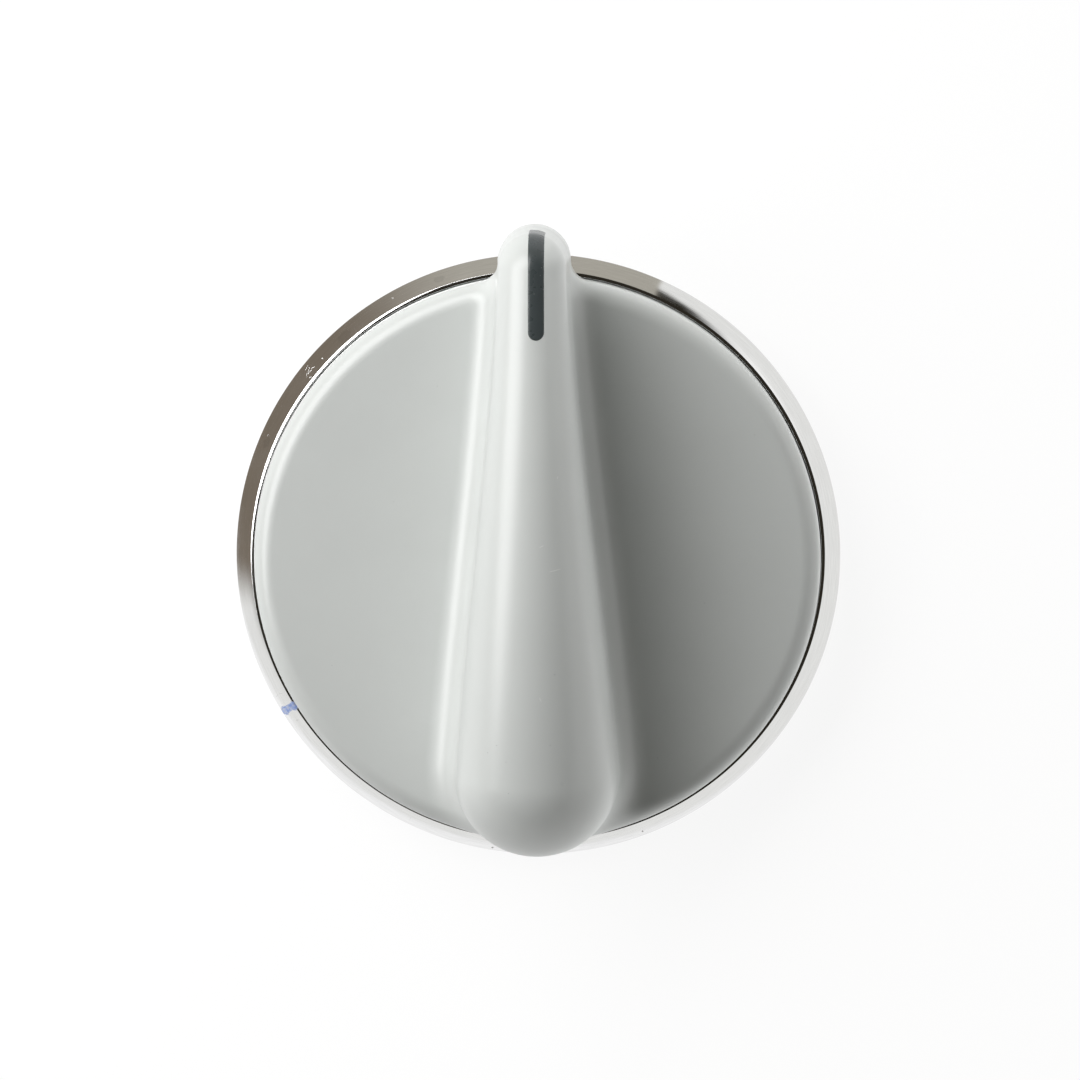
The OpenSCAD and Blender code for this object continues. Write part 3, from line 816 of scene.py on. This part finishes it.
# The first three are darker patches of painted reflection on the upper-left bevel; the last three are small
# dark marks beside the blue smear.
RING_MARKS_AND_PAINTED_REFLECTION = (
    (-18.9, 22, 2.6, 1.6, 50), (-26.8, 11.5, 2, 1, 65), (-9.5, 27.6, 1.8, 0.9, 20),
    (-26.12, -13.88, 0.6, 0.14, 52), (-25.7, -13.6, 0.6, 0.12, 8), (-24.1, -16.3, 0.5, 0.3, 20),
)
# Near black, painted into the pits of the plating
PIT_DARK = tinted((0.16, 0.15, 0.14))


def chrome_plating(finishes):
    """Bright chrome plated on to ABS: a mirror with the faintly wavy gloss of plated plastic.

    Wiping has left fine streaks round the ring, with a few scratches, pits, small dark marks and a
    smear of blue ink. Darker patches on the upper-left bevel are painted reflection, and the pits are
    painted near black. A metal keeps the default IOR.
    """
    material, add = new_material("chrome plating")
    place = add("ShaderNodeTexCoord", output="Object")
    x, y, z = add("ShaderNodeSeparateXYZ", [place]).node.outputs
    turn = add("ShaderNodeMath", (y, x), operation="ARCTAN2")
    turn = add("ShaderNodeMath", (turn, WIPING_TURNS), operation="MULTIPLY")
    flat = add("ShaderNodeVectorMath", (place, (1, 1, 0)), operation="MULTIPLY")
    reach = add("ShaderNodeVectorMath", [flat], "Value", operation="LENGTH")
    reach = add("ShaderNodeMath", (reach, WIPING_STREAK), operation="DIVIDE")
    wiped = add("ShaderNodeCombineXYZ", (turn, reach))
    streaks = add("ShaderNodeTexNoise", {"Vector": wiped, "Scale": 1.0, "Detail": 3.0})
    waves = add("ShaderNodeTexNoise", {"Vector": place, "Scale": 1 / PLATING_WAVES})
    metal = finishes.plating
    clean = add("ShaderNodeMapRange", (streaks, 0.35, 0.7), **EASED)
    base = add("ShaderNodeMix", {0: clean, 6: tinted(metal, 0.95), 7: tinted(metal)}, **COLOURS)

    bevel = add("ShaderNodeMapRange", (z, MARKS_LOW, MARKS_FULL), **EASED)
    kinds = (RING_MARKS_AND_PAINTED_REFLECTION, 0.5), (RING_PITS, 0.3), (RING_SCRATCHES, 0.0), (BLUE_SMEAR, 0.3)
    marks_and_painted_reflection, pits, scratches, smear = (
        add("ShaderNodeMath", (spots(add, place, *kind), bevel), operation="MULTIPLY") for kind in kinds
    )
    grain = add("ShaderNodeTexNoise", {"Vector": place, "Scale": 1 / SMEAR_GRAIN, "Detail": 3.0})
    grain = add("ShaderNodeMapRange", (grain, 0.35, 0.6, 0.5, 1.0), **EASED)
    smear = add("ShaderNodeMath", (smear, grain), operation="MULTIPLY")
    # Painted reflection: darker patches on the upper-left bevel, with small dark marks by the smear
    base = painted(add, base, (
        (marks_and_painted_reflection, 0.25, tinted(metal, 0.6)), (pits, 0.7, PIT_DARK),
        (smear, 1.0, tinted(finishes.blue_mark)),
    ))
    metallic = add("ShaderNodeMapRange", (smear, 0.0, 1.0, 1.0, 0.25), **EASED)
    worn = add("ShaderNodeMath", (scratches, smear), operation="MAXIMUM")
    polish = add("ShaderNodeMapRange", (waves, 0.3, 0.7, 0.05, 0.1), **EASED)
    rough = add("ShaderNodeMath", (worn, 0.14, polish), operation="MULTIPLY_ADD")
    wavy = add("ShaderNodeMath", (streaks, 0.12, waves), operation="MULTIPLY_ADD")
    shallow = add("ShaderNodeMath", (scratches, 0.35), operation="MULTIPLY")
    deep = add("ShaderNodeMath", (shallow, pits), operation="MAXIMUM")
    height = add("ShaderNodeMath", (wavy, deep), operation="SUBTRACT")
    bump = add("ShaderNodeBump", {"Strength": 0.3, "Distance": 0.02 * MM, "Height": height})
    shader = add(
        "ShaderNodeBsdfPrincipled",
        {"Base Color": base, "Metallic": metallic, "Roughness": rough, "Normal": bump},
    )
    add("ShaderNodeOutputMaterial", [shader])
    return material


DUST_GREY = tinted((0.4, 0.4, 0.4))


def pad_printed_ink(finishes):
    """Pad-printed ink: a thin, slightly uneven dark grey film with a few dust specks."""
    material, add = new_material("pad-printed ink")
    place = add("ShaderNodeTexCoord", output="Object")
    ink = finishes.ink
    cloud = add("ShaderNodeTexNoise", {"Vector": place, "Scale": 1 / PRINT_CLOUDS, "Detail": 3.0})
    base = add("ShaderNodeMix", {0: cloud, 6: tinted(ink, 0.97), 7: tinted(ink, 1.03)}, **COLOURS)
    dust = add("ShaderNodeTexVoronoi", {"Vector": place, "Scale": 1 / DUST_SPACING}, "Distance")
    specks = add("ShaderNodeMapRange", (dust, 0.11, 0.05), **EASED)
    base = painted(add, base, [(specks, 0.35, DUST_GREY)])
    rough = add("ShaderNodeMapRange", (cloud, 0.3, 0.7, 0.26, 0.3), **EASED)
    bump = add("ShaderNodeBump", {"Strength": 0.3, "Distance": 0.001 * MM, "Height": cloud})
    shader = add(
        "ShaderNodeBsdfPrincipled", {"Base Color": base, "Roughness": rough, "IOR": 1.5, "Normal": bump}
    )
    add("ShaderNodeOutputMaterial", [shader])
    return material


def spring_steel(finishes):
    """Spring steel strip, rolled, bent and tempered: blue-grey with fine rolling lines along it."""
    material, add = new_material("tempered spring steel")
    place = add("ShaderNodeTexCoord", output="Object")
    steel = finishes.steel
    height = add("ShaderNodeSeparateXYZ", [place], "Z")
    height = add("ShaderNodeMath", (height, ROLLING_LINE), operation="DIVIDE")
    level = add("ShaderNodeCombineXYZ", {"Z": height})
    rolled = add("ShaderNodeTexNoise", {"Vector": level, "Scale": 1.0})
    temper = add("ShaderNodeTexNoise", {"Vector": place, "Scale": 1 / TEMPER_CLOUDS})
    base = add("ShaderNodeMix", {0: temper, 6: tinted(steel, 0.8), 7: tinted(steel)}, **COLOURS)
    rough = add("ShaderNodeMapRange", (rolled, 0.3, 0.7, 0.24, 0.4), **EASED)
    bump = add("ShaderNodeBump", {"Strength": 0.3, "Distance": 0.01 * MM, "Height": rolled})
    shader = add(
        "ShaderNodeBsdfPrincipled", {"Base Color": base, "Metallic": 1.0, "Roughness": rough, "Normal": bump}
    )
    add("ShaderNodeOutputMaterial", [shader])
    return material


RIB_PLACES = (0, 45, 135, 180, 225, 315)
RIB_ROUND = 0.25 * MM
FINGER_PLACES = (22.5, 157.5, 202.5, 337.5)
SHARP_EDGE = math.radians(35)


class KNOB_OT_moulding(bpy.types.Operator):
    """Build the grey moulding with its grip, hub, ribs and snap fingers"""

    bl_idname = "knob.moulding"
    bl_label = "Moulding"

    def execute(self, context):
        s = context.scene.knob_moulding
        material = moulded_abs(context.scene.knob_finishes)
        obj = new_object("moulding", *shell_mesh(s), material)
        hub, bore = hub_parts(s)
        under = s.face_height - s.plate / 2
        inner, outer = (s.mouth_radius + s.hub_radius) / 2, s.face_radius - s.skirt / 2
        low, high = (inner, -s.rib / 2, s.rib_height), (outer, s.rib / 2, under)
        parts = [hub]
        parts += [bar(low, high, math.radians(place), RIB_ROUND) for place in RIB_PLACES]
        parts += [finger_part(s, math.radians(place)) for place in FINGER_PLACES]
        for part in parts:
            combine(obj, new_object("part", *part, material), "UNION")
        past = s.hub_radius + CUT_PAST
        slit = bar((-past, -s.slit / 2, -CUT_PAST), (past, s.slit / 2, s.rib_height))
        for cutter in (bore, slit):
            combine(obj, new_object("cutter", *cutter, material), "DIFFERENCE")
        obj.data.set_sharp_from_angle(angle=SHARP_EDGE)
        finish_piece(obj, "knob_shell")
        return {"FINISHED"}


RING_STEPS = 720
BORE_DRAFT = 0.1 * MM
RING_ROUNDS = np.array([0.1, 0.2, 0.08, 0.05, 0.04, 0.1, 0.2, 0.2, 0.1]) * MM


class KNOB_OT_ring(bpy.types.Operator):
    """Build the bright ring"""

    bl_idname = "knob.ring"
    bl_label = "Ring"

    def execute(self, context):
        s = context.scene.knob_ring
        corners = [
            [s.opening + BORE_DRAFT, 0], [s.rear_radius, 0], [s.radius, s.wide_height],
            [s.bevel_end, s.crest_height - s.land_rise], [s.opening, s.crest_height],
            [s.opening, s.flange_high], [s.flange_radius, s.flange_high], [s.flange_radius, s.flange_low],
            [s.opening + BORE_DRAFT, s.flange_low],
        ]
        rows = ring_of(rounded(corners, RING_ROUNDS, 6), disc_turns(RING_STEPS))
        faces = grid_faces(*rows.shape[:2], wrap_rows=True, wrap_columns=True).tolist()
        obj = new_object("ring", rows.reshape(-1, 3), faces, chrome_plating(context.scene.knob_finishes))
        finish_piece(obj, "trim_ring")
        return {"FINISHED"}


CLIP_STEPS = 90
CLIP_ROUND = 0.12 * MM


class KNOB_OT_clip(bpy.types.Operator):
    """Build the open spring clip round the hub's mouth"""

    bl_idname = "knob.clip"
    bl_label = "Shaft clip"

    def execute(self, context):
        s = context.scene.knob_small
        inner, outer = s.clip_outer - s.clip_thickness, s.clip_outer
        corners = [[inner, s.clip_low], [outer, s.clip_low], [outer, s.clip_high], [inner, s.clip_high]]
        section = rounded(corners, np.full(4, CLIP_ROUND), 5)
        turns = math.pi / 2 + np.linspace(s.clip_gap / 2, 2 * math.pi - s.clip_gap / 2, CLIP_STEPS)
        rows = ring_of(section, turns)
        obj = new_object("clip", *capped(rows), spring_steel(context.scene.knob_finishes))
        finish_piece(obj, "shaft_clip")
        return {"FINISHED"}


class KNOB_OT_line(bpy.types.Operator):
    """Build the dark pointer line on the grip"""

    bl_idname = "knob.line"
    bl_label = "Pointer line"

    def execute(self, context):
        s, m = context.scene.knob_small, context.scene.knob_moulding
        obj = new_object("line", *capped(line_rows(s, m)), pad_printed_ink(context.scene.knob_finishes))
        finish_piece(obj, "pointer_line")
        return {"FINISHED"}


LINE_DROP = 2.6 * MM
LINE_SUNK = 0.06 * MM
TIP_LEAN = 0.04


def line_rows(s, m):
    """Sections of the pointer line, from its round inner end, along the crown and down the tip.

    Each point stands on the crown's round, whose radius is the grip's half-width, and is then
    lowered by the long arch. The round inner end narrows as a half circle does. The line's edges
    and its middle are sunk into the moulding on the side that doesn't show.
    """
    grip = Teardrop(m, m.wide_place, m.wide_radius, m.tip_place, m.tip_radius)
    half = s.line_width / 2
    tip = m.tip_radius - m.lean
    end_turn = np.radians(np.linspace(6, 90, 14))
    straight = np.linspace(s.line_end + half, m.tip_place, 60)[1:]
    over = np.linspace(90, 0, 40)[1:]
    drop = np.linspace(0, LINE_DROP, 6)[1:]
    y = np.concatenate([
        s.line_end + half * (1 - np.cos(end_turn)), straight, np.full(len(over) + len(drop), m.tip_place)
    ])
    turn = np.radians(np.concatenate([np.full(len(end_turn) + len(straight), 90.0), over, 0 * drop]))
    down = np.concatenate([np.zeros(len(y) - len(drop)), drop])
    width = np.full(len(y), half)
    width[:len(end_turn)] = half * np.sin(end_turn)
    u = (y - grip.low) / (grip.top - grip.low)
    radius = np.where(y < m.tip_place, grip.half_width(u) - m.lean, tip)

    across = np.linspace(-1, 1, 15)
    out = s.line_proud * (1 - across**8)
    x = np.concatenate([across, across[::-1][[0, 7, 14]]])
    lift = np.concatenate([out, np.full(3, -LINE_SUNK)])
    side = s.line_side + width[:, None] * x[None]
    r = np.sqrt(radius[:, None] ** 2 - side**2) + lift[None]
    place = y[:, None] + r * np.cos(turn)[:, None]
    z = crown_height(m, place) - radius[:, None] + r * np.sin(turn)[:, None] - down[:, None]
    return np.stack([side, place + TIP_LEAN * down[:, None], z], -1)


def aim(obj, place, target, up):
    """Puts a camera or lamp at a place, looking at a target, with the given direction upwards."""
    back = (Vector(place) - Vector(target)).normalized()
    right = Vector(up).cross(back).normalized()
    turn = Matrix((right, back.cross(right), back)).transposed()
    obj.matrix_world = Matrix.Translation(place) @ turn.to_4x4()


class KNOB_OT_stage(bpy.types.Operator):
    """Make the floor, the light and the camera"""

    bl_idname = "knob.stage"
    bl_label = "Stage"

    def execute(self, context):
        s = context.scene.knob_stage
        scene = context.scene
        add_floor(s)
        add_world(s, scene)
        add_key(s)
        add_camera(s, scene)
        scene.view_settings.view_transform = "Standard"
        return {"FINISHED"}


def add_key(s):
    """The soft oval key lamp, facing the knob."""
    data = bpy.data.lights.new("key lamp", "AREA")
    data.shape, data.size, data.size_y, data.energy = "ELLIPSE", s.key_width, s.key_tall, s.key_watts
    lamp = bpy.data.objects.new("key lamp", data)
    bpy.context.scene.collection.objects.link(lamp)
    level, height = math.cos(s.key_rise) * s.key_distance, math.sin(s.key_rise) * s.key_distance
    place = (level * math.cos(s.key_turn), level * math.sin(s.key_turn), height)
    aim(lamp, place, (0, 0, 0), (0, 0, 1))


def add_camera(s, scene):
    """The camera, looking down along a line of sight that leans a little towards +X and +Y."""
    data = bpy.data.cameras.new("camera")
    data.sensor_width = 36
    data.lens = data.sensor_width * s.camera_distance / s.view_width
    data.clip_start, data.clip_end = 0.01, 20
    camera = bpy.data.objects.new("camera", data)
    scene.collection.objects.link(camera)
    target = Vector((s.aim_x, s.aim_y, s.aim_z))
    sight = Vector((s.tilt_x, s.tilt_y, 1)).normalized()
    aim(camera, target + sight * s.camera_distance, target, (math.sin(s.roll), math.cos(s.roll), 0))
    scene.camera = camera


FLOOR_SIDES = 96
FLOOR_DROP = 0.02 * MM
# The floor's own white where it is seen, and the share that the lamps add to it there
FLOOR_WHITE = 0.9
FLOOR_LIT = tinted((0.12, 0.12, 0.12))
# How much of the light that falls on it the floor's left and right sides send back
PAPER_LEFT, PAPER_RIGHT = 0.35, 0.8


def add_floor(s):
    """A plain pale floor. Where it is seen, most of its white is its own and the rest is lit, so that
    the knob's shadow stays on it. The light that it sends back to the knob grows from left to right."""
    turns = disc_turns(FLOOR_SIDES)
    points = np.stack([np.cos(turns), np.sin(turns), 0 * turns], -1) * s.floor_radius - [0, 0, FLOOR_DROP]
    material, add = new_material("white paper floor")
    glow = add("ShaderNodeEmission", (WHITE, FLOOR_WHITE))
    lit = add("ShaderNodeBsdfDiffuse", [FLOOR_LIT])
    seen = add("ShaderNodeAddShader", (glow, lit))
    place = add("ShaderNodeTexCoord", output="Object")
    across = add("ShaderNodeSeparateXYZ", [place], "X")
    span = (across, -s.glow_reach, s.glow_reach)
    paper = add("ShaderNodeMapRange", (*span, PAPER_LEFT, PAPER_RIGHT), **EASED)
    paper = add("ShaderNodeBsdfDiffuse", [paper])
    level = add("ShaderNodeMapRange", (*span, 0.0, s.floor_glow), **EASED)
    glow = add("ShaderNodeEmission", (WHITE, level))
    soft = add("ShaderNodeAddShader", (paper, glow))
    path = add("ShaderNodeLightPath").node.outputs
    direct = add("ShaderNodeMath", (path["Is Camera Ray"], path["Is Glossy Ray"]), operation="MAXIMUM")
    direct = add("ShaderNodeMath", (direct, path["Is Transmission Ray"]), operation="MAXIMUM")
    add("ShaderNodeOutputMaterial", [add("ShaderNodeMixShader", (direct, soft, seen))])
    new_object("floor", points, [list(range(FLOOR_SIDES))], material)


# The room as the knob sees it. A side is a direction in degrees from +X, with the cosines to it
# between which something begins. A height is the sine of the angle above the floor.
WALL_TOP, WALL_SLOPE = (0.15, 0.19), 0.15
CEILING_HEIGHT = (0.08, 0.2)
CURTAIN_SIDES = (154, -0.01, 0.01), (100, -0.12, 0.06)
CURTAIN_SHADE = (215, -0.35, 0.2)
CURTAIN_TOP = (0.5, 0.35)
STRIP_SIDE = (0, 0.5, 0.8)
STRIP_LOW, STRIP_TOP = (0.22, 0.3), (0.52, 0.42)


def add_world(s, scene):
    """White to the camera. To the knob, pale walls under a dim ceiling, a little higher on the right,
    where a brighter strip runs along them, and a brown-grey curtain low down on the upper left."""
    world = bpy.data.worlds.new("studio")
    scene.world = world
    world.use_nodes = True
    world.node_tree.nodes.clear()
    add = node_adder(world.node_tree)
    way = add("ShaderNodeTexCoord", output="Generated")
    across, _, height = add("ShaderNodeSeparateXYZ", [way]).node.outputs

    def side(degrees, low, high):
        """1 on the side that faces the given direction, 0 on the other."""
        turn = math.radians(degrees)
        facing = (way, (math.cos(turn), math.sin(turn), 0))
        dot = add("ShaderNodeVectorMath", facing, "Value", operation="DOT_PRODUCT")
        return add("ShaderNodeMapRange", (dot, low, high), **EASED)

    def all_of(*masks):
        """1 where every mask is 1: their product."""
        product = masks[0]
        for mask in masks[1:]:
            product = add("ShaderNodeMath", (product, mask), operation="MULTIPLY")
        return product

    def at_height(*span):
        """Mask between two heights."""
        return add("ShaderNodeMapRange", (height, *span), **EASED)

    panel = add("ShaderNodeMath", (across, -WALL_SLOPE, height), operation="MULTIPLY_ADD")
    panel = add("ShaderNodeMapRange", (panel, *WALL_TOP), **EASED)
    ceiling = all_of(panel, at_height(*CEILING_HEIGHT))
    room = add("ShaderNodeMix", {0: ceiling, 6: tinted(s.horizon), 7: tinted(s.zenith)}, **COLOURS)
    curtain = add(
        "ShaderNodeMix",
        {0: side(*CURTAIN_SHADE), 6: tinted(s.curtain_light), 7: tinted(s.curtain_dark)}, **COLOURS,
    )
    hung = all_of(*(side(*place) for place in CURTAIN_SIDES), at_height(*CURTAIN_TOP))
    room = add("ShaderNodeMix", {0: hung, 6: room, 7: curtain}, **COLOURS)
    strip = all_of(at_height(*STRIP_LOW), at_height(*STRIP_TOP), side(*STRIP_SIDE))
    room = add("ShaderNodeMix", {0: strip, 6: room, 7: WHITE}, **COLOURS)
    level = add("ShaderNodeMapRange", (strip, 0.0, 1.0, 1.0, s.strip_level), **EASED)
    room = add("ShaderNodeBackground", (room, level))
    white = add("ShaderNodeBackground", (WHITE, 1.0))
    seen = add("ShaderNodeLightPath", output="Is Camera Ray")
    add("ShaderNodeOutputWorld", [add("ShaderNodeMixShader", (seen, room, white))])


OPERATORS = (KNOB_OT_moulding, KNOB_OT_ring, KNOB_OT_clip, KNOB_OT_line, KNOB_OT_stage)


class KNOB_PT_panel(bpy.types.Panel):
    """Lists the knob's pieces in the sidebar"""

    bl_idname = "KNOB_PT_panel"
    bl_label = "Washing machine knob"
    bl_space_type = "VIEW_3D"
    bl_region_type = "UI"
    bl_category = "Knob"

    def draw(self, context):
        for operator in OPERATORS:
            self.layout.operator(operator.bl_idname)


GROUPS = {
    "knob_moulding": KnobMouldingSizes,
    "knob_ring": KnobRingSizes,
    "knob_small": KnobSmallSizes,
    "knob_finishes": KnobFinishes,
    "knob_stage": KnobStageSizes,
}


def register():
    for name, group in GROUPS.items():
        bpy.utils.register_class(group)
        setattr(bpy.types.Scene, name, PointerProperty(type=group))
    for kind in (*OPERATORS, KNOB_PT_panel):
        bpy.utils.register_class(kind)


def unregister():
    for kind in (KNOB_PT_panel, *reversed(OPERATORS)):
        bpy.utils.unregister_class(kind)
    for name, group in reversed(GROUPS.items()):
        delattr(bpy.types.Scene, name)
        bpy.utils.unregister_class(group)


def main():
    register()
    bpy.ops.knob.moulding()
    bpy.ops.knob.ring()
    bpy.ops.knob.clip()
    bpy.ops.knob.line()
    bpy.ops.knob.stage()


if __name__ == "__main__":
    main()
